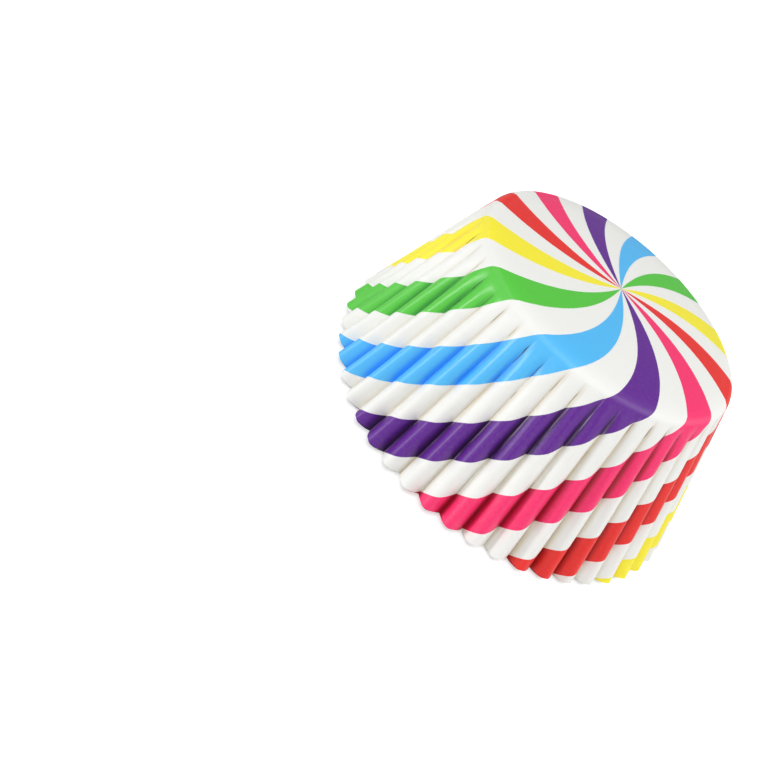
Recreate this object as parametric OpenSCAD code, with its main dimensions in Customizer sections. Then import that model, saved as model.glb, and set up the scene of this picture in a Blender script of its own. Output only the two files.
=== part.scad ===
// Stack of fluted paper cupcake liners, nested and resting on their mouths.
// Units are millimetres. Z is the axis of the cups, the mouths are on z = 0,
// and the base of the outermost liner is on top.

/* [Cup] */
// Diameter of the base fold of the outermost liner
base_d = 50; // [44:1:56]
// Diameter over the ridge tips at the mouth
mouth_d = 72; // [68:0.5:80]
// Height from the mouth to the base fold
height = 31.3; // [26:0.1:36]
// How far the middle of the base bulges above its fold
base_rise = 1.1; // [0:0.1:2]

/* [Flutes] */
// Number of flutes around the wall
flutes = 48; // [40:1:50]
// Depth of a flute at the mouth, from ridge tip to crease
flute_depth = 2; // [1.6:0.1:2.6]
// Distance from a ridge's crown to its shoulder, as a part of the pitch
shoulder_at = 0.29; // [0.27:0.01:0.33]
// Drop from a ridge's crown to its shoulder, as a part of the depth
shoulder_drop = 0.42; // [0.36:0.01:0.46]
// Half width of the crease, as a part of the pitch
crease_half = 0.04; // [0.02:0.01:0.06]

/* [Stack] */
// Thickness of the paper
paper = 0.06; // [0.05:0.01:0.09]
// Space between two nested sheets
air = 0.04; // [0.03:0.01:0.06]
// How much lower each liner's mouth reaches than the one around it
mouth_step = 0.08; // [0.05:0.01:0.2]

/* [Hidden] */
NODES = ["liner_01", "liner_02", "liner_03", "liner_04", "liner_05",
         "liner_06", "liner_07", "liner_08", "liner_09", "liner_10"];
count = len(NODES);
base_r = base_d / 2;
mouth_r = mouth_d / 2;
pitch_angle = 360 / flutes;
layer = paper + air;

// Slope of the wall, and what one step into the stack costs at the fold and at the mouth
wall_angle = atan((mouth_r - base_r) / height);
fold_inset = tan((90 - wall_angle) / 2);
mouth_inset = 1 / cos(wall_angle);

// One flute across its ridge: place in pitches from the crown, drop as a part of the depth
FLUTE = [
    [crease_half - 0.5, 1],
    [-shoulder_at, shoulder_drop],
    [0, 0],
    [shoulder_at, shoulder_drop],
    [0.5 - crease_half, 1]
];
CROWN = 2;
steps = len(FLUTE);
around = flutes * steps;

paper_white = [0.95, 0.95, 0.93];

function polar(r, a) = [r * cos(a), r * sin(a)];
function unit(v) = v / norm(v);
function on_height(p, z) = [p[0], p[1], z];

// Outline of the outermost surface where its wall meets the plane of the mouth
outline = [for (j = [0 : flutes - 1], f = FLUTE)
    polar(mouth_r - f[1] * flute_depth, (j + f[0]) * pitch_angle)];

// Inward normal of the outline's edge that starts at point i
function edge_normal(i) =
    let (e = unit(outline[(i + 1) % around] - outline[i % around])) [-e[1], e[0]];

// Way that point i moves when both of its edges move inward by one
function mitre(i) =
    let (a = edge_normal(i + around - 1), b = edge_normal(i)) (a + b) / (1 + a * b);

mitres = [for (i = [0 : around - 1]) mitre(i)];

// Points of one sheet surface that lies "depth" under the outermost surface, cut off at
// height cut: the base fold (one point a crease), the mouth (one a step), then the middle
function fold_points(depth) =
    let (r = base_r - depth * fold_inset)
    [for (j = [0 : flutes - 1]) on_height(polar(r, (j + 0.5) * pitch_angle), height - depth)];

// Where the line through point i of the mouth starts on the fold: at its crease, or for
// a crown halfway between its two creases
function fold_of(folds, i) =
    let (flute = floor(i / steps), step = i % steps,
         before = folds[(flute + flutes - 1) % flutes], after = folds[flute])
    step < CROWN ? before : step > CROWN ? after : (before + after) / 2;

function mouth_points(depth, cut) =
    let (folds = fold_points(depth), top = height - depth)
    [for (i = [0 : around - 1])
        let (foot = on_height(outline[i] + mitres[i] * depth * mouth_inset, 0),
             fold = fold_of(folds, i))
        fold + (foot - fold) * (top - cut) / top];

function surface_points(depth, cut) = concat(
    fold_points(depth),
    mouth_points(depth, cut),
    [[0, 0, height + base_rise - depth]]
);

// Faces of one surface, seen from outside, for points that start at index "first"
function surface_faces(first) =
    let (mouth = first + flutes, middle = mouth + around)
    concat(
        [for (j = [0 : flutes - 1]) [middle, first + (j + 1) % flutes, first + j]],
        [for (j = [0 : flutes - 1])
            [first + (j + flutes - 1) % flutes, first + j, mouth + j * steps + CROWN]],
        [for (j = [0 : flutes - 1], s = [0 : steps - 1])
            let (i = j * steps + CROWN + s)
            [first + j, mouth + (i + 1) % around, mouth + i % around]]
    );

function turned(faces) = [for (f = faces) [f[2], f[1], f[0]]];

// The paper's cut edge at the mouth, between the outer and the inner surface
function edge_faces(inner) = [for (i = [0 : around - 1])
    let (n = (i + 1) % around, o = flutes)
    [o + i, o + n, inner + o + n, inner + o + i]];

// One liner, folded from one sheet; number 1 is the outermost
module liner(number) {
    depth = (number - 1) * layer;
    cut = (count - number) * mouth_step;
    outside = surface_points(depth, cut);
    inside = surface_points(depth + paper, cut);
    color(paper_white)
        polyhedron(
            points = concat(outside, inside),
            faces = concat(
                surface_faces(0),
                turned(surface_faces(len(outside))),
                edge_faces(len(outside))
            )
        );
}

liner(1);  // liner_01
liner(2);  // liner_02
liner(3);  // liner_03
liner(4);  // liner_04
liner(5);  // liner_05
liner(6);  // liner_06
liner(7);  // liner_07
liner(8);  // liner_08
liner(9);  // liner_09
liner(10);  // liner_10
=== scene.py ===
"""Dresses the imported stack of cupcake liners: pleated paper cups with a swirl print.

Each liner is made as the real one is. It starts as a flat disc of paper, takes its
print's coordinates while it is flat, and is then pressed into a cup whose wall is
gathered into flutes. All sizes are in metres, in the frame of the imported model.
"""

import math
import random
from collections import namedtuple
from functools import cache

import bmesh
import bpy
from mathutils import Matrix, Vector


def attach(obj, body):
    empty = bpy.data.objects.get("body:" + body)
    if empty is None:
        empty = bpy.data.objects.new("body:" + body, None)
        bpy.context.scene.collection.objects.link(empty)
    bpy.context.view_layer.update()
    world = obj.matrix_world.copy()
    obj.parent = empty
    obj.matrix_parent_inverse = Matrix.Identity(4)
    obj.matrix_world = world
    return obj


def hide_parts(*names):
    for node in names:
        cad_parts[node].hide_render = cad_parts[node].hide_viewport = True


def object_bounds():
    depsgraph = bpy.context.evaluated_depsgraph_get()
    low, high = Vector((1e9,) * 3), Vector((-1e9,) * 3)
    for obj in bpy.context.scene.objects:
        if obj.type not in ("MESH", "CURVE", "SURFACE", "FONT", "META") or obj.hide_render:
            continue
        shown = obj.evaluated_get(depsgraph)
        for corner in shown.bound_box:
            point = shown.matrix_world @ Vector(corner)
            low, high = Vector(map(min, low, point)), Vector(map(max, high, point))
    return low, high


bl_info = {
    "name": "Cupcake liner stack",
    "version": (1, 0, 0),
    "blender": (4, 5, 0),
    "location": "View3D > Sidebar > Liners",
    "description": "Models a nested stack of pleated paper cupcake liners with a swirl print",
    "category": "Add Mesh",
}

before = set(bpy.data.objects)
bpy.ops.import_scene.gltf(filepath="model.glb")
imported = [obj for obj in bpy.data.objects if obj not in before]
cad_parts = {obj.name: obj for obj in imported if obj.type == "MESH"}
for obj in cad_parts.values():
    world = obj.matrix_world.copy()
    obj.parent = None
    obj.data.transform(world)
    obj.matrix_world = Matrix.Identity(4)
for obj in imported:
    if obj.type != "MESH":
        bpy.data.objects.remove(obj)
CAD_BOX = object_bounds()

MM = 0.001
TO_MM = 1000
NODES = sorted(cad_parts)

# How finely a liner is modelled. The columns across a flute run from its crown (0) to the
# crease on either side (0.5). All walls have the same rows: near the fold the flutes deepen
# fast, and nested sheets with other rows would cut through each other there.
Detail = namedtuple("Detail", "across wall_rows fold_steps base_rings")
FINE = Detail((0, 0.06, 0.12, 0.19, 0.26, 0.33, 0.39, 0.44, 0.475, 0.5), 18, 5, 8)
PLAIN = Detail((0, 0.1, 0.2, 0.3, 0.38, 0.44, 0.472, 0.5), 18, 4, 4)

# A crown of power 1 is a cosine, and more is sharper, but the tenth sheet has to fit inside
CROWN_POWER = 1.05
SHARP_ANGLE = math.radians(40)

# The mouth was pushed in a little at one side: by how much, where, and how far it reaches
SQUEEZE = 0.0012
SQUEEZE_SIDE = math.radians(-165)
SQUEEZE_REACH = 0.030
# A limit between a flute's last two columns, which rounding can't move to their other side
NEAR_CREASE = 0.49

# How many degrees the nested liners may be turned under the outermost one, by chance
PRINT_PLAY = 1.5
PRINT_SEED = 5

# The swirl print in mm and degrees, fitted to the photograph. A curve's three numbers are
# its value at the middle, and its change with the radius and with the radius squared.
INKS = ("red", "yellow", "green", "blue", "purple", "pink")
STRIPE_PITCH = 30
STRIPE_WIDTH = (14.8, 0.013, 0)
PRINT_MIDDLE = (-0.23, 2.55)
BASE_CURL = (13.04, -0.4333, -0.0150)
# The wall's paper is drawn to one side, ever more between two distances from the fold
DRAWN_FROM, DRAWN_TO = -2, 8
WALL_SHIFT = (1.42, 0.2)
WALL_CURL = (7.26, -0.2701, 0.0029)
# Stripes in four whole turns, which keep the stripes' numbers above zero
PHASE_LIFT = 48

# Name, azimuth and elevation in degrees, size in metres and power in watts. The low lamp
# draws the bright streaks on the inked crowns.
LAMPS = (
    ("left_light", -160, 15, 0.25, 0.30),
    ("low_light", -144, 2.3, 0.08, 1.00),
    ("front_light", -100, 15, 0.25, 0.30),
    ("high_light", -120, 62, 0.25, 0.66),
    ("right_light", 10, 45, 0.25, 1.12),
    ("side_light", -35, 15, 0.25, 0.36),
    ("top_light", 5, 75, 0.25, 0.85),
)
LAMP_DISTANCE = 0.6
LAMP_AIM = Vector((0, 0, 0.02))

# The photograph's camera: lens and sensor in mm, azimuth, elevation and roll in degrees
CAMERA_LENS = 55.59
CAMERA_SENSOR = 36
CAMERA_ANGLES = (-85.6255, 36.07, 39.96)
CAMERA_PLACE = Vector((-5.045, -179.487, 119.134)) * MM


def lerp(a, b, t):
    return a + (b - a) * t


def polar(r, a):
    return Vector((r * math.cos(a), r * math.sin(a)))


def direction(azimuth, elevation):
    return Vector((math.cos(azimuth) * math.cos(elevation),
                   math.sin(azimuth) * math.cos(elevation), math.sin(elevation)))


class LinerSizes(bpy.types.PropertyGroup):
    """Sizes of one pressed liner and of the stack."""

    base_d: bpy.props.FloatProperty(
        name="Base", description="Diameter of the base fold", default=0.050,
        subtype="DISTANCE", unit="LENGTH")
    mouth_d: bpy.props.FloatProperty(
        name="Mouth", description="Diameter over the ridges at the mouth", default=0.072,
        subtype="DISTANCE", unit="LENGTH")
    height: bpy.props.FloatProperty(
        name="Height", description="Height from the mouth to the base fold", default=0.0313,
        subtype="DISTANCE", unit="LENGTH")
    base_rise: bpy.props.FloatProperty(
        name="Base rise", description="How far the middle of the base bulges",
        default=CAD_BOX[1].z - 0.0313, subtype="DISTANCE", unit="LENGTH")
    flutes: bpy.props.IntProperty(
        name="Flutes", description="Number of flutes around the wall", default=48, min=12)
    flute_depth: bpy.props.FloatProperty(
        name="Flute depth", description="From ridge to crease at the mouth", default=0.0022,
        subtype="DISTANCE", unit="LENGTH")
    growth: bpy.props.FloatProperty(
        name="Flute growth", description="Power by which the flutes deepen along the wall",
        default=0.6, min=0.3, max=1)
    fold_radius: bpy.props.FloatProperty(
        name="Fold radius", description="Radius of the fold round the base", default=0.0013,
        subtype="DISTANCE", unit="LENGTH")
    paper: bpy.props.FloatProperty(
        name="Paper", description="Thickness of the paper", default=0.00006,
        subtype="DISTANCE", unit="LENGTH")
    air: bpy.props.FloatProperty(
        name="Air", description="Space between two nested sheets", default=0.00003,
        subtype="DISTANCE", unit="LENGTH")
    mouth_step: bpy.props.FloatProperty(
        name="Mouth step", description="How much lower each mouth is than the one outside it",
        default=0.00008, subtype="DISTANCE", unit="LENGTH")


def colour(name, description, value):
    return bpy.props.FloatVectorProperty(
        name=name, description=description, default=value, subtype="COLOR", size=3,
        min=0, max=1)


class PrintColours(bpy.types.PropertyGroup):
    """Colours of the paper and of its print, and the painted shade of its creases and slits."""

    paper: colour("Paper", "The bare paper", (0.90, 0.90, 0.87))
    red: colour("Red", "Red stripe", (0.85, 0.020, 0.014))
    yellow: colour("Yellow", "Yellow stripe", (0.98, 0.87, 0.03))
    green: colour("Green", "Green stripe", (0.09, 0.59, 0.045))
    blue: colour("Blue", "Blue stripe", (0.080, 0.51, 0.95))
    purple: colour("Purple", "Purple stripe", (0.118, 0.010, 0.285))
    pink: colour("Pink", "Pink stripe", (0.97, 0.024, 0.160))
    # Painted shade: each ink as it is darkened down in a crease
    red_deep: colour("Deep red", "Red down in a crease", (0.42, 0.006, 0.006))
    yellow_deep: colour("Deep yellow", "Yellow down in a crease", (0.90, 0.62, 0.02))
    green_deep: colour("Deep green", "Green down in a crease", (0.03, 0.33, 0.03))
    blue_deep: colour("Deep blue", "Blue down in a crease", (0.03, 0.32, 0.94))
    purple_deep: colour("Deep purple", "Purple down in a crease", (0.040, 0.008, 0.085))
    pink_deep: colour("Deep pink", "Pink down in a crease", (0.42, 0.004, 0.024))
    red_back: colour("Red, seen from inside", "Red stripe through the paper", (0.54, 0.21, 0.22))
    yellow_back: colour("Yellow, seen from inside", "Yellow stripe through the paper",
                        (0.88, 0.74, 0.24))
    green_back: colour("Green, seen from inside", "Green stripe through the paper",
                       (0.32, 0.50, 0.34))
    blue_back: colour("Blue, seen from inside", "Blue stripe through the paper",
                      (0.27, 0.50, 0.80))
    purple_back: colour("Purple, seen from inside", "Purple stripe through the paper",
                        (0.38, 0.37, 0.42))
    pink_back: colour("Pink, seen from inside", "Pink stripe through the paper",
                      (0.66, 0.31, 0.34))
    cloud: colour("Cloud", "Thinner spots of the paper", (0.85, 0.85, 0.81))
    # Painted shade: the beige that the creases and one flank of each flute get
    crease_shade: colour("Stain", "Tint of the pressed creases", (0.60, 0.50, 0.33))
    crease_shade_strength: bpy.props.FloatProperty(
        name="Stain strength", description="How much the creases are tinted", default=0.9,
        min=0, max=1, subtype="FACTOR")
    # Painted shade in pinched-shut flutes: on inked paper, and on white paper
    slit_shade: colour("Slit", "Inked flute that is pinched shut", (0.035, 0.025, 0.03))
    white_pleat_shade: colour("Crack", "White flute that is pinched shut", (0.36, 0.29, 0.17))


class StageSettings(bpy.types.PropertyGroup):
    """Light, floor and camera."""

    lamps: bpy.props.FloatProperty(
        name="Lamps", description="Factor on the power of all lamps", default=1.0, min=0)
    sky: bpy.props.FloatProperty(
        name="Sky", description="Strength of the even light from all sides", default=0.32, min=0)
    floor: colour("Floor", "Colour of the floor", (0.85, 0.85, 0.85))


def flute_drop(u):
    """How far a point across a flute lies under its crown, as a part of the depth."""
    return 1 - max(0, math.cos(math.pi * u)) ** CROWN_POWER


class Cup:
    """Shape of one liner's outer surface, which lies depth under the outermost one."""

    def __init__(self, sizes, number, across):
        self.sizes = sizes
        self.depth = (number - 1) * (sizes.paper + sizes.air)
        self.across = [-u for u in reversed(across[1:-1])] + list(across)
        self.pitch = math.tau / sizes.flutes
        self.base_r, mouth_r = sizes.base_d / 2, sizes.mouth_d / 2
        self.slant = math.hypot(mouth_r - self.base_r, sizes.height)
        self.lean = math.asin((mouth_r - self.base_r) / self.slant)
        self.turn = math.pi / 2 - self.lean
        self.fold_r = self.base_r - self.depth * math.tan(self.turn / 2)
        self.top = sizes.height - self.depth
        self.round = sizes.fold_radius - self.depth
        self.tangent = self.round * math.tan(self.turn / 2)
        # Flat places across the flute share the paper evenly along the outline of the mouth
        self.flat = self.across
        outline = self.outline(self.slant, 1)
        n = len(self.across)
        run = [0.0]
        for i in range(n, 2 * n):
            run.append(run[-1] + (outline[i + 1] - outline[i]).length)
        crown = self.across.index(0)
        self.flat = [(run[i] - run[crown]) / run[-1] for i in range(n)]
        # A column of paper that slants less reaches lower; the creases end at the mouth's plane
        self.fall = [math.sqrt(1 - ((p.length - self.base_r) / self.slant) ** 2)
                     for p in outline[n:2 * n]]
        cut = (len(NODES) - number) * sizes.mouth_step + sizes.paper / 2
        self.reach = (self.top - cut) / min(1, max(self.fall))

    def outline(self, distance, part):
        """Three flutes of the outermost surface, at a distance down its wall from the fold."""
        r = self.base_r + distance * math.sin(self.lean)
        deep = self.sizes.flute_depth * part ** self.sizes.growth
        places = [lerp(f, u, part) for f, u in zip(self.flat, self.across)]
        return [polar(r - flute_drop(u) * deep, (j + u) * self.pitch)
                for j in (-1, 0, 1) for u in places]

    def wall_row(self, distance):
        """The points of one flute at a distance down the wall of this liner."""
        inset = self.depth / math.cos(self.lean)
        part = (distance - self.tangent) / (self.slant - self.tangent)
        outline = self.outline(distance + inset, max(0, part))
        n = len(self.across)
        row = []
        for k in range(n):
            foot = outline[n + k] + self.mitre(outline, n + k) * inset
            row.append((foot.length, math.atan2(foot.y, foot.x),
                        self.top - distance * self.fall[k]))
        return row

    @staticmethod
    def mitre(points, i):
        """Way that a point moves when both of its edges move inward by one."""
        a = (points[i] - points[i - 1]).normalized()
        b = (points[i + 1] - points[i]).normalized()
        a, b = Vector((-a.y, a.x)), Vector((-b.y, b.x))
        return (a + b) / (1 + a.dot(b))

    def rings(self, fold_steps, base_rings):
        """Flat radius, radius and height of the rings from the top of the wall to the middle."""
        rings = []
        for i in range(fold_steps + 1):
            part = i / fold_steps
            angle = (1 - part) * self.turn
            r = self.fold_r - self.tangent + self.round * math.sin(angle)
            z = self.top - self.round * (1 - math.cos(angle))
            rings.append((lerp(self.base_r + self.tangent, self.base_r - self.tangent, part), r, z))
        last = rings.pop()
        for i in range(base_rings):
            part = 1 - i / base_rings
            rings.append((last[0] * part, last[1] * part, self.top + self.bulge(part * last[1])))
        return rings

    def bulge(self, r):
        return self.sizes.base_rise * (1 - (r / self.fold_r) ** 3)


def deselect_all():
    if bpy.context.mode != "OBJECT":
        bpy.ops.object.mode_set(mode="OBJECT")
    bpy.ops.object.select_all(action="DESELECT")


class Sheet:
    """The liner's mesh in edit mode, whose points are picked by ring and column."""

    def __init__(self, mesh, columns):
        self.mesh = mesh
        self.columns = columns
        self.points = {}

    def read(self, layer):
        """Sorts the points by their ring and column."""
        bm = bmesh.from_edit_mesh(self.mesh)
        self.points = {}
        for v in bm.verts:
            ring, column = divmod(v[bm.verts.layers.int[layer]], self.columns)
            self.points.setdefault(ring, {}).setdefault(column, []).append(v)

    def select(self, ring, column=None):
        bpy.ops.mesh.select_all(action="DESELECT")
        bm = bmesh.from_edit_mesh(self.mesh)
        for k, points in self.points[ring].items():
            if column in (None, k):
                for v in points:
                    v.select = True
        bm.select_flush_mode()
        bmesh.update_edit_mesh(self.mesh, loop_triangles=False, destructive=False)


def squeeze(sheet, cup):
    """Bends the mouth in a little at one side. Two flutes are pushed, and more follow."""
    side = round(SQUEEZE_SIDE / cup.pitch)
    bpy.ops.mesh.select_all(action="DESELECT")
    bm = bmesh.from_edit_mesh(sheet.mesh)
    for points in sheet.points[0].values():
        for v in points:
            flute = math.atan2(v.co.y, v.co.x) / cup.pitch
            v.select = side - NEAR_CREASE < flute < side + 1 + NEAR_CREASE
    bm.select_flush_mode()
    bmesh.update_edit_mesh(sheet.mesh, loop_triangles=False, destructive=False)
    inward = polar(-SQUEEZE, SQUEEZE_SIDE)
    bpy.ops.transform.translate(
        value=(inward.x, inward.y, 0), use_proportional_edit=True,
        proportional_edit_falloff="SMOOTH", proportional_size=SQUEEZE_REACH)


def place_selected(scale, angle, height):
    """Scales and turns the selected points about the axis and lifts them."""
    bpy.ops.transform.resize(value=(scale, scale, 1), center_override=(0, 0, 0))
    if angle:
        bpy.ops.transform.rotate(value=-angle, orient_axis="Z", center_override=(0, 0, 0))
    if height:
        bpy.ops.transform.translate(value=(0, 0, height))


def model_liner(number, detail, print_turn):
    """Models one liner as a sheet and gives it its thickness."""
    sizes = bpy.context.scene.liner_sizes
    cup = Cup(sizes, number, detail.across)
    columns = len(cup.across)
    total = sizes.flutes * columns
    rows = detail.wall_rows
    wall = [lerp(cup.reach, cup.tangent, i / rows) for i in range(rows)]
    rings = cup.rings(detail.fold_steps, detail.base_rings)
    flat_radii = [cup.base_r + distance for distance in wall] + [ring[0] for ring in rings]
    deselect_all()
    bpy.ops.mesh.primitive_circle_add(
        vertices=total, radius=flat_radii[0], fill_type="NOTHING", enter_editmode=True)
    liner = bpy.context.object
    liner.name = liner.data.name = "paper_" + NODES[number - 1]
    mesh = liner.data
    sheet = Sheet(mesh, columns)

    # The die-cut disc: its rim, with its columns where the flutes will need them
    bm = bmesh.from_edit_mesh(mesh)
    place = bm.verts.layers.int.new("place")
    step = math.tau / total
    first = cup.across.index(0)
    for v in bm.verts:
        v[place] = (round(math.atan2(v.co.y, v.co.x) / step) + first) % columns
    bmesh.update_edit_mesh(mesh)
    sheet.read("place")
    for k in range(columns):
        sheet.select(0, k)
        place_selected(1, cup.flat[k] * cup.pitch - (k - first) * step, 0)
    bpy.ops.mesh.select_all(action="SELECT")
    for i, flat in enumerate(flat_radii[1:] + [0]):
        bpy.ops.mesh.extrude_region_move()
        bm = bmesh.from_edit_mesh(mesh)
        place = bm.verts.layers.int["place"]
        for v in bm.verts:
            if v.select:
                v[place] += columns
        if flat:
            place_selected(flat / flat_radii[i], 0, 0)
        else:
            bpy.ops.mesh.merge(type="CENTER")

    # Where each point lies on the sheet, and on its print
    bm = bmesh.from_edit_mesh(mesh)
    laid = bm.verts.layers.float_vector.new("sheet")
    printed = bm.verts.layers.float_vector.new("print")
    turn = Matrix.Rotation(print_turn, 3, "Z")
    for v in bm.verts:
        v[laid] = v.co
        v[printed] = turn @ v.co
    bmesh.update_edit_mesh(mesh)

    # Pressing: the wall is gathered into flutes, row by row, and the base keeps its rings
    sheet.read("place")
    for i, distance in enumerate(wall):
        for k, (r, angle, z) in enumerate(cup.wall_row(distance)):
            sheet.select(i, k)
            place_selected(r / flat_radii[i], angle - cup.flat[k] * cup.pitch, z)
    for i, (flat, r, z) in enumerate(rings):
        sheet.select(rows + i)
        place_selected(r / flat, 0, z)
    sheet.select(rows + len(rings))
    place_selected(1, 0, cup.top + sizes.base_rise)
    squeeze(sheet, cup)

    bpy.ops.mesh.select_all(action="SELECT")
    bpy.ops.mesh.normals_make_consistent(inside=False)
    bpy.ops.object.mode_set(mode="OBJECT")

    # Before the thickness, whose inner and rim faces take the second and the third material
    for make in (printed_paper, paper_back, cut_edge):
        mesh.materials.append(make())
    thick = liner.modifiers.new("Paper", "SOLIDIFY")
    thick.thickness = sizes.paper
    thick.offset = -1
    thick.use_even_offset = True
    thick.material_offset = 1
    thick.material_offset_rim = 2
    bpy.ops.object.modifier_apply(modifier=thick.name)
    # After the thickness, so that the cut rim keeps its sharp edges
    bpy.ops.object.shade_smooth_by_angle(angle=SHARP_ANGLE)

    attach(liner, "root")
    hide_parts(NODES[number - 1])
    return liner


class Value:
    """A node's output socket that can be used in a Python expression."""

    def __init__(self, tree, socket):
        self.tree = tree
        self.socket = socket

    def math(self, operation, *others):
        node = self.tree.nodes.new("ShaderNodeMath")
        node.operation = operation
        for i, value in enumerate((self, *others)):
            link(self.tree, node.inputs[i], value)
        return Value(self.tree, node.outputs[0])

    def __add__(self, other):
        return self.math("ADD", other)

    __radd__ = __add__

    def __sub__(self, other):
        return self.math("SUBTRACT", other)

    def __rsub__(self, other):
        return (self * -1).math("ADD", other)

    def __mul__(self, other):
        return self.math("MULTIPLY", other)

    __rmul__ = __mul__

    def __truediv__(self, other):
        return self.math("DIVIDE", other)

    def __rtruediv__(self, other):
        return self.math("POWER", -1) * other

    def __mod__(self, other):
        return self.math("FLOORED_MODULO", other)


def link(tree, socket, value):
    """Puts a value, or a link to one, on a socket."""
    if isinstance(value, Value):
        tree.links.new(value.socket, socket)
    elif isinstance(value, bpy.types.NodeSocket):
        tree.links.new(value, socket)
    else:
        socket.default_value = value


def opaque(shade):
    """A colour as a socket takes it. A link stays as it is."""
    if isinstance(shade, (Value, bpy.types.NodeSocket)):
        return shade
    return (*tuple(shade)[:3], 1)


class Nodes:
    """A node tree that is built up by calls."""

    def __init__(self, tree):
        self.tree = tree
        self.tree.nodes.clear()

    def node(self, kind, settings=None, values=None):
        """Adds a node, sets it up, then fills its sockets."""
        node = self.tree.nodes.new("ShaderNode" + kind)
        for name, value in (settings or {}).items():
            if name == "stops":
                ramp = node.color_ramp
                while len(ramp.elements) < len(value):
                    ramp.elements.new(0.5)
                for element, (place, shade) in zip(ramp.elements, value):
                    element.position = place
                    element.color = (*shade, 1)
            elif name == "interpolation":
                node.color_ramp.interpolation = value
            else:
                setattr(node, name, value)
        for name, value in (values or {}).items():
            link(self.tree, node.inputs[name], value)
        return node

    def value(self, kind, settings=None, values=None, output=0):
        return Value(self.tree, self.node(kind, settings, values).outputs[output])

    def mix(self, factor, a, b):
        """Mixes two colours. The node has their sockets as inputs 6 and 7 and output 2."""
        node = self.node("Mix", {"data_type": "RGBA"}, {0: factor, 6: opaque(a), 7: opaque(b)})
        return node.outputs[2]

    def vector(self, x, y, z=0):
        return self.node("CombineXYZ", None, {0: x, 1: y, 2: z}).outputs[0]

    def smooth(self, value, low, high, start=0.0, end=1.0):
        return self.value("MapRange", {"interpolation_type": "SMOOTHSTEP"}, {
            "Value": value, "From Min": low, "From Max": high, "To Min": start, "To Max": end})


class Finish(Nodes):
    """A material that is built up by calls."""

    def __init__(self, name):
        self.material = bpy.data.materials.new(name)
        self.material.use_nodes = True
        super().__init__(self.material.node_tree)

    def surface(self, sockets):
        """Ends the material with its shader."""
        shader = self.node("BsdfPrincipled", None, sockets)
        self.node("OutputMaterial", None, {"Surface": shader.outputs[0]})
        return self.material


def place_of(finish, attribute):
    """Where a point lies on the flat sheet, in mm."""
    place = finish.node("Attribute", {"attribute_name": attribute}).outputs["Vector"]
    split = finish.node("SeparateXYZ", None, {0: place})
    return [Value(finish.tree, split.outputs[i]) * TO_MM for i in (0, 1)]


def beyond_fold(r):
    """How many mm a flat radius lies down the wall. It is negative on the base."""
    return r - bpy.context.scene.liner_sizes.base_d / 2 * TO_MM


class Places:
    """Where a point of a pressed sheet lies, in mm and in flutes."""

    def __init__(self, finish):
        x, y = place_of(finish, "sheet")
        turn = y.math("ARCTAN2", x) * (bpy.context.scene.liner_sizes.flutes / math.tau)
        # The flute's number, and the place across it from -0.5 to 0.5
        self.number = (turn + 0.5).math("FLOOR")
        self.across = turn - self.number
        self.down = beyond_fold((x * x + y * y).math("SQRT"))
        # 0 on the base, and 1 from 3 mm down the wall
        self.wall = finish.smooth(self.down, 0.4, 3.0)
        # For noise that is even over the sheet, and for noise that runs down the flutes
        self.flat = finish.vector(x, y)
        self.along = finish.vector(self.across * 14 + self.number * 3, self.down * 0.12)


def curve(r, numbers):
    start, slope, bend = numbers
    return r * r * bend + r * slope + start


def stripes(finish, blur=0.06):
    """The swirl: twelve stripes that curl out from the middle of the base.

    Gives the ink's cover, and a number from 0 to 1 that picks its colour.
    """
    sheet_x, sheet_y = place_of(finish, "print")
    down = beyond_fold((sheet_x * sheet_x + sheet_y * sheet_y).math("SQRT"))
    drawn = finish.smooth(down, DRAWN_FROM, DRAWN_TO)
    x = sheet_x - PRINT_MIDDLE[0] + drawn * WALL_SHIFT[0]
    y = sheet_y - PRINT_MIDDLE[1] + drawn * WALL_SHIFT[1]
    r = (x * x + y * y).math("SQRT")
    angle = y.math("ARCTAN2", x) * math.degrees(1)
    curl = curve(r, BASE_CURL) + drawn * curve(r, WALL_CURL)
    phase = (angle - curl) / STRIPE_PITCH + PHASE_LIFT
    number = phase.math("FLOOR")
    across = (phase - number) * STRIPE_PITCH
    half = curve(r, STRIPE_WIDTH) / 2
    # Distance from the stripe's nearer edge, in mm along the ring
    edge = (half - (across - half).math("ABSOLUTE")) * r * math.radians(1)
    ragged = noise(finish, finish.vector(x, y), 3.0, 3.0) - 0.5
    ink = finish.smooth(edge + ragged * 0.16, -blur, blur)
    hue = (number % len(INKS) + 0.5) / len(INKS)
    return ink, hue


def shades(finish, hue, wanted):
    """The colour of the stripe that a point is in."""
    stops = [(i / len(INKS), tuple(shade)) for i, shade in enumerate(wanted)]
    ramp = finish.node("ValToRGB", {"interpolation": "CONSTANT", "stops": stops}, {0: hue})
    return ramp.outputs[0]


def noise(finish, vector, scale, detail=2.0, roughness=0.5):
    return finish.value("TexNoise", None, {
        "Vector": vector, "Scale": scale, "Detail": detail, "Roughness": roughness})


def bump(finish, strength, height):
    """A bump whose height is in mm."""
    return finish.node("Bump", None, {
        "Strength": strength, "Distance": MM, "Height": height}).outputs[0]


def paper_bump(finish, places):
    """Fibres, the soft cockle of pressed paper, and streaks that run down the flutes."""
    fibres = noise(finish, places.flat, 4.0, 1.5)
    cockle = noise(finish, places.flat, 0.45)
    streaks = noise(finish, places.along, 1.0)
    return bump(finish, 0.5, fibres * 0.010 + cockle * 0.05 + streaks * 0.03)


def palette(ending=""):
    """The six inks, or their shades with that ending, in the order of the stripes."""
    colours = bpy.context.scene.print_colours
    return [getattr(colours, ink + ending) for ink in INKS]


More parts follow.
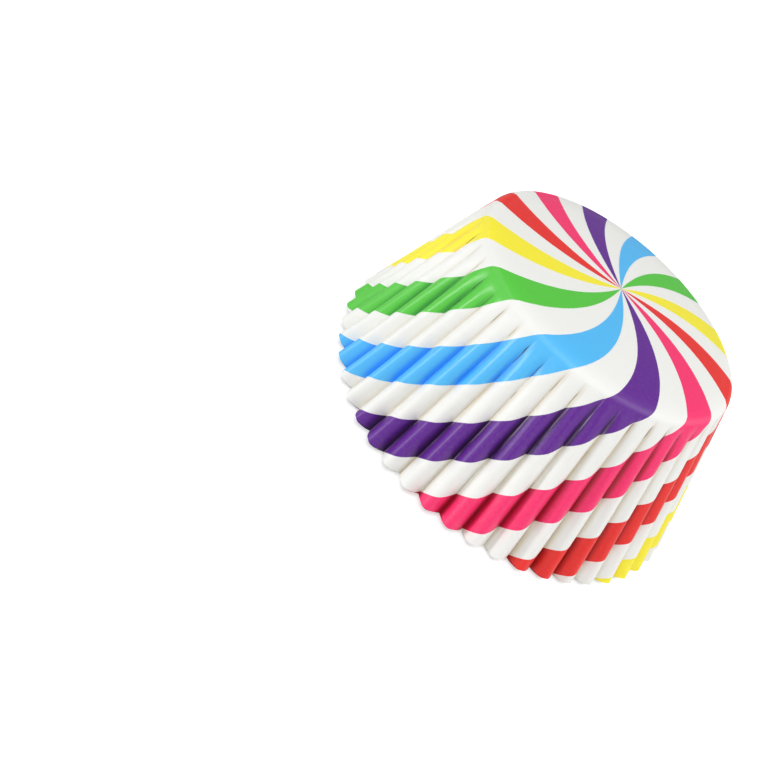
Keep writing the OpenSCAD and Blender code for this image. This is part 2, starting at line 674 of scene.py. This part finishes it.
@cache
def printed_paper():
    """The outside: white greaseproof paper, inked stripes, creases where ink is worn, and painted
    shade in the creases and slits.
    """
    c = bpy.context.scene.print_colours
    finish = Finish("printed_paper")
    ink, hue = stripes(finish)
    places = Places(finish)
    down, wall, flat, along = places.down, places.wall, places.flat, places.along
    # 0 on the crown and 1 in the crease
    crease = places.across.math("ABSOLUTE") * 2
    # The place across the flute, counted towards the flank that gets painted shade and is worn
    flank = places.across * -1
    # Two numbers by chance for each flute
    chance, other = (
        finish.value("TexWhiteNoise", {"noise_dimensions": "1D"}, {"W": places.number + seed})
        for seed in (0, 0.37))

    # White paper: slightly cloudy, with painted shade in the creases and on the shaded flank of
    # each flute
    cloud = noise(finish, flat, 0.9, 4.0, 0.6)
    paper = finish.mix(cloud * 0.5, c.paper, c.cloud)
    crease_shade = finish.smooth(flank, 0.24, 0.42) * 0.55 + finish.smooth(crease, 0.72, 0.97) * 0.45
    patches = finish.smooth(noise(finish, along, 0.6), 0.2, 0.55)
    crease_shade = crease_shade * wall * (chance * 0.5 + 0.5) * patches
    paper = finish.mix(crease_shade * c.crease_shade_strength, paper, c.crease_shade)

    # Inks: a little uneven, with painted shade down in the creases, worn on the folds' edges, and
    # lighter along the base fold, partly worn and partly a painted highlight
    tone = noise(finish, flat, 1.6, 4.0, 0.7)
    inks = finish.mix(
        finish.smooth(tone, 0.45, 0.75) * 0.025, shades(finish, hue, palette()), c.paper)
    # Painted shade darkens each ink down in the crease, from 1 mm to 8 mm down the wall
    valley_shade = finish.smooth(crease, 0.50, 0.92) * finish.smooth(down, 1.0, 8.0)
    inks = finish.mix(valley_shade, inks, shades(finish, hue, palette("_deep")))
    worn = finish.smooth(flank, 0.37, 0.40) * finish.smooth(flank, 0.46, 0.43)
    # The blue and the purple ink crack along the folds, the others hardly do
    cracked = finish.smooth(hue, 0.52, 0.56) * finish.smooth(hue, 0.82, 0.78)
    worn = worn * wall * cracked * finish.smooth(noise(finish, along, 1.7), 0.42, 0.62)
    # Lighter ink along the base fold: partly worn ink, partly a painted highlight
    fold_wear_and_highlight = finish.smooth(down.math("ABSOLUTE"), 0.9, 0.1) * 0.04
    cover = ink * (1 - (worn * 0.32).math("MAXIMUM", fold_wear_and_highlight))
    base = finish.mix(cover, paper, inks)

    # Painted shade: dark slits where a flute was pinched shut, most of them just under the fold
    start = other * 1.4 + 0.9
    end = start + chance * 2.6 + 2.2
    opened = finish.smooth(down, start, start + 1.6) * finish.smooth(down, end, end - 1.4)
    opened = opened * finish.smooth(chance, 0.15, 0.35)
    far = (places.number * 0.61).math("FRACT") * 22 + 7
    mark = finish.smooth(down, far, far + 0.5) * finish.smooth(down, far + 2.4, far + 1.2)
    opened = opened + mark * finish.smooth(other, 0.6, 0.7) * 0.6
    slit_shade = finish.smooth(crease + opened * 0.085, 1.0, 1.02)
    base = finish.mix(slit_shade * 0.85, base, finish.mix(ink, c.white_pleat_shade, c.slit_shade))

    # Ink is glossier than paper, but not on the fold and in the slits
    gloss = noise(finish, flat, 0.8, 1.0)
    folded = finish.smooth(down.math("ABSOLUTE"), 2.2, 1.0)
    rough = finish.smooth(ink, 0, 1, 0.52, 0.37) + (gloss - 0.5) * 0.10
    rough = rough + folded * 0.22 + slit_shade * 0.2
    return finish.surface({
        "Base Color": base, "Roughness": rough, "Normal": paper_bump(finish, places),
        "Sheen Weight": 0.05, "Sheen Roughness": 0.4})


@cache
def paper_back():
    """The inside: bare paper with the print showing through, and painted shade in its creases."""
    c = bpy.context.scene.print_colours
    finish = Finish("paper_back")
    ink, hue = stripes(finish, 0.25)
    places = Places(finish)
    cloud = noise(finish, places.flat, 0.9, 4.0, 0.6)
    paper = finish.mix(cloud * 0.7, c.paper, c.cloud)
    through = shades(finish, hue, palette("_back"))
    base = finish.mix(ink * (cloud * 0.5 + 0.6), paper, through)
    # Seen from inside, the crowns are the creases, and they get painted shade
    crease = finish.smooth(places.across.math("ABSOLUTE") * 2, 0.15, 0.0) * places.wall
    base = finish.mix(crease * 0.25, base, c.crease_shade)
    rough = noise(finish, places.flat, 2.2, 3.0) * 0.2 + 0.45
    return finish.surface({
        "Base Color": base, "Roughness": rough, "Normal": paper_bump(finish, places),
        "Sheen Weight": 0.08, "Sheen Roughness": 0.4})


@cache
def cut_edge():
    """The die-cut rim, with the ink bled a little into its fibres."""
    finish = Finish("cut_edge")
    ink, hue = stripes(finish, 0.2)
    fibres = noise(finish, finish.vector(*place_of(finish, "sheet")), 6.0, 4.0, 0.7)
    paper = bpy.context.scene.print_colours.paper
    base = finish.mix(ink * (fibres * 0.5 + 0.1), paper, shades(finish, hue, palette()))
    return finish.surface({
        "Base Color": base, "Roughness": fibres * 0.2 + 0.5,
        "Normal": bump(finish, 0.4, fibres * 0.02)})


class LINERS_OT_outermost(bpy.types.Operator):
    """Model the outermost liner"""

    bl_idname = "liners.outermost"
    bl_label = "Outermost liner"

    def execute(self, context):
        model_liner(1, FINE, 0)
        return {"FINISHED"}


class LINERS_OT_nested(bpy.types.Operator):
    """Model the liners that are nested in the outermost one"""

    bl_idname = "liners.nested"
    bl_label = "Nested liners"

    def execute(self, context):
        chance = random.Random(PRINT_SEED)
        for number in range(2, len(NODES) + 1):
            turn = chance.uniform(-PRINT_PLAY, PRINT_PLAY)
            model_liner(number, PLAIN, math.radians(turn))
        return {"FINISHED"}


class LINERS_OT_stage(bpy.types.Operator):
    """Add the floor, the lights and the camera"""

    bl_idname = "liners.stage"
    bl_label = "Stage"

    def execute(self, context):
        scene = context.scene
        settings = scene.stage_settings
        scene.view_settings.view_transform = "Standard"

        world = bpy.data.worlds.new("studio")
        world.use_nodes = True
        scene.world = world
        nodes = Nodes(world.node_tree)
        seen = nodes.value("LightPath", output="Is Camera Ray")
        back = nodes.node("Background", None, {
            "Color": (1, 1, 1, 1), "Strength": seen * (1 - settings.sky) + settings.sky})
        nodes.node("OutputWorld", None, {"Surface": back.outputs[0]})

        deselect_all()
        bpy.ops.mesh.primitive_plane_add(size=6, location=(0, 0, 0))
        floor = context.object
        floor.name = "floor"
        floor.data.materials.append(self.floor_finish(settings))

        for name, azimuth, elevation, size, power in LAMPS:
            self.lamp(name, azimuth, elevation, size, power * settings.lamps)
        self.camera(scene)
        return {"FINISHED"}

    @staticmethod
    def floor_finish(settings):
        """A floor that glows to white for the camera, less so near the stack's shadow."""
        finish = Finish("floor")
        seen = finish.value("LightPath", output="Is Camera Ray")
        place = finish.node("TexCoord").outputs["Object"]
        away = finish.value("VectorMath", {"operation": "LENGTH"}, {0: place}, "Value")
        glow = finish.smooth(away, 0.08, 0.4, 0.55, 1.0)
        lit = finish.mix(seen, (0, 0, 0), finish.vector(glow, glow, glow))
        return finish.surface({
            "Base Color": opaque(settings.floor), "Roughness": 0.9, "Emission Color": lit,
            "Emission Strength": 1.0})

    @staticmethod
    def lamp(name, azimuth, elevation, size, power):
        way = direction(math.radians(azimuth), math.radians(elevation))
        data = bpy.data.lights.new(name, "AREA")
        data.size = size
        data.energy = power
        lamp = bpy.data.objects.new(name, data)
        bpy.context.scene.collection.objects.link(lamp)
        lamp.location = way * LAMP_DISTANCE + LAMP_AIM
        lamp.rotation_euler = way.to_track_quat("Z", "Y").to_euler()

    @staticmethod
    def camera(scene):
        """The camera of the photograph, fitted to the base fold, the wall and the mouth."""
        data = bpy.data.cameras.new("photo_view")
        data.sensor_width = CAMERA_SENSOR
        data.lens = CAMERA_LENS
        camera = bpy.data.objects.new("photo_view", data)
        scene.collection.objects.link(camera)
        azimuth, elevation, roll = (math.radians(a) for a in CAMERA_ANGLES)
        back = direction(azimuth, elevation)
        right = Vector((0, 0, 1)).cross(back).normalized()
        up = back.cross(right)
        turned = Matrix((right, up, back)).transposed() @ Matrix.Rotation(roll, 3, "Z")
        camera.matrix_world = Matrix.Translation(CAMERA_PLACE) @ turned.to_4x4()
        scene.camera = camera


class LINERS_PT_panel(bpy.types.Panel):
    """The steps that model the stack"""

    bl_idname = "LINERS_PT_panel"
    bl_label = "Cupcake liners"
    bl_space_type = "VIEW_3D"
    bl_region_type = "UI"
    bl_category = "Liners"

    def draw(self, context):
        for group in ("liner_sizes", "print_colours", "stage_settings"):
            settings = getattr(context.scene, group)
            for name in settings.__annotations__:
                self.layout.prop(settings, name)
        for step in STEPS:
            self.layout.operator(step.bl_idname)


GROUPS = {"liner_sizes": LinerSizes, "print_colours": PrintColours,
          "stage_settings": StageSettings}
STEPS = (LINERS_OT_outermost, LINERS_OT_nested, LINERS_OT_stage)


def register():
    for kind in (*GROUPS.values(), *STEPS, LINERS_PT_panel):
        bpy.utils.register_class(kind)
    for name, kind in GROUPS.items():
        setattr(bpy.types.Scene, name, bpy.props.PointerProperty(type=kind))


def unregister():
    for name in GROUPS:
        delattr(bpy.types.Scene, name)
    for kind in (LINERS_PT_panel, *reversed(STEPS), *reversed(GROUPS.values())):
        bpy.utils.unregister_class(kind)


def main():
    register()
    bpy.ops.liners.outermost()
    bpy.ops.liners.nested()
    bpy.ops.liners.stage()


if __name__ == "__main__":
    main()
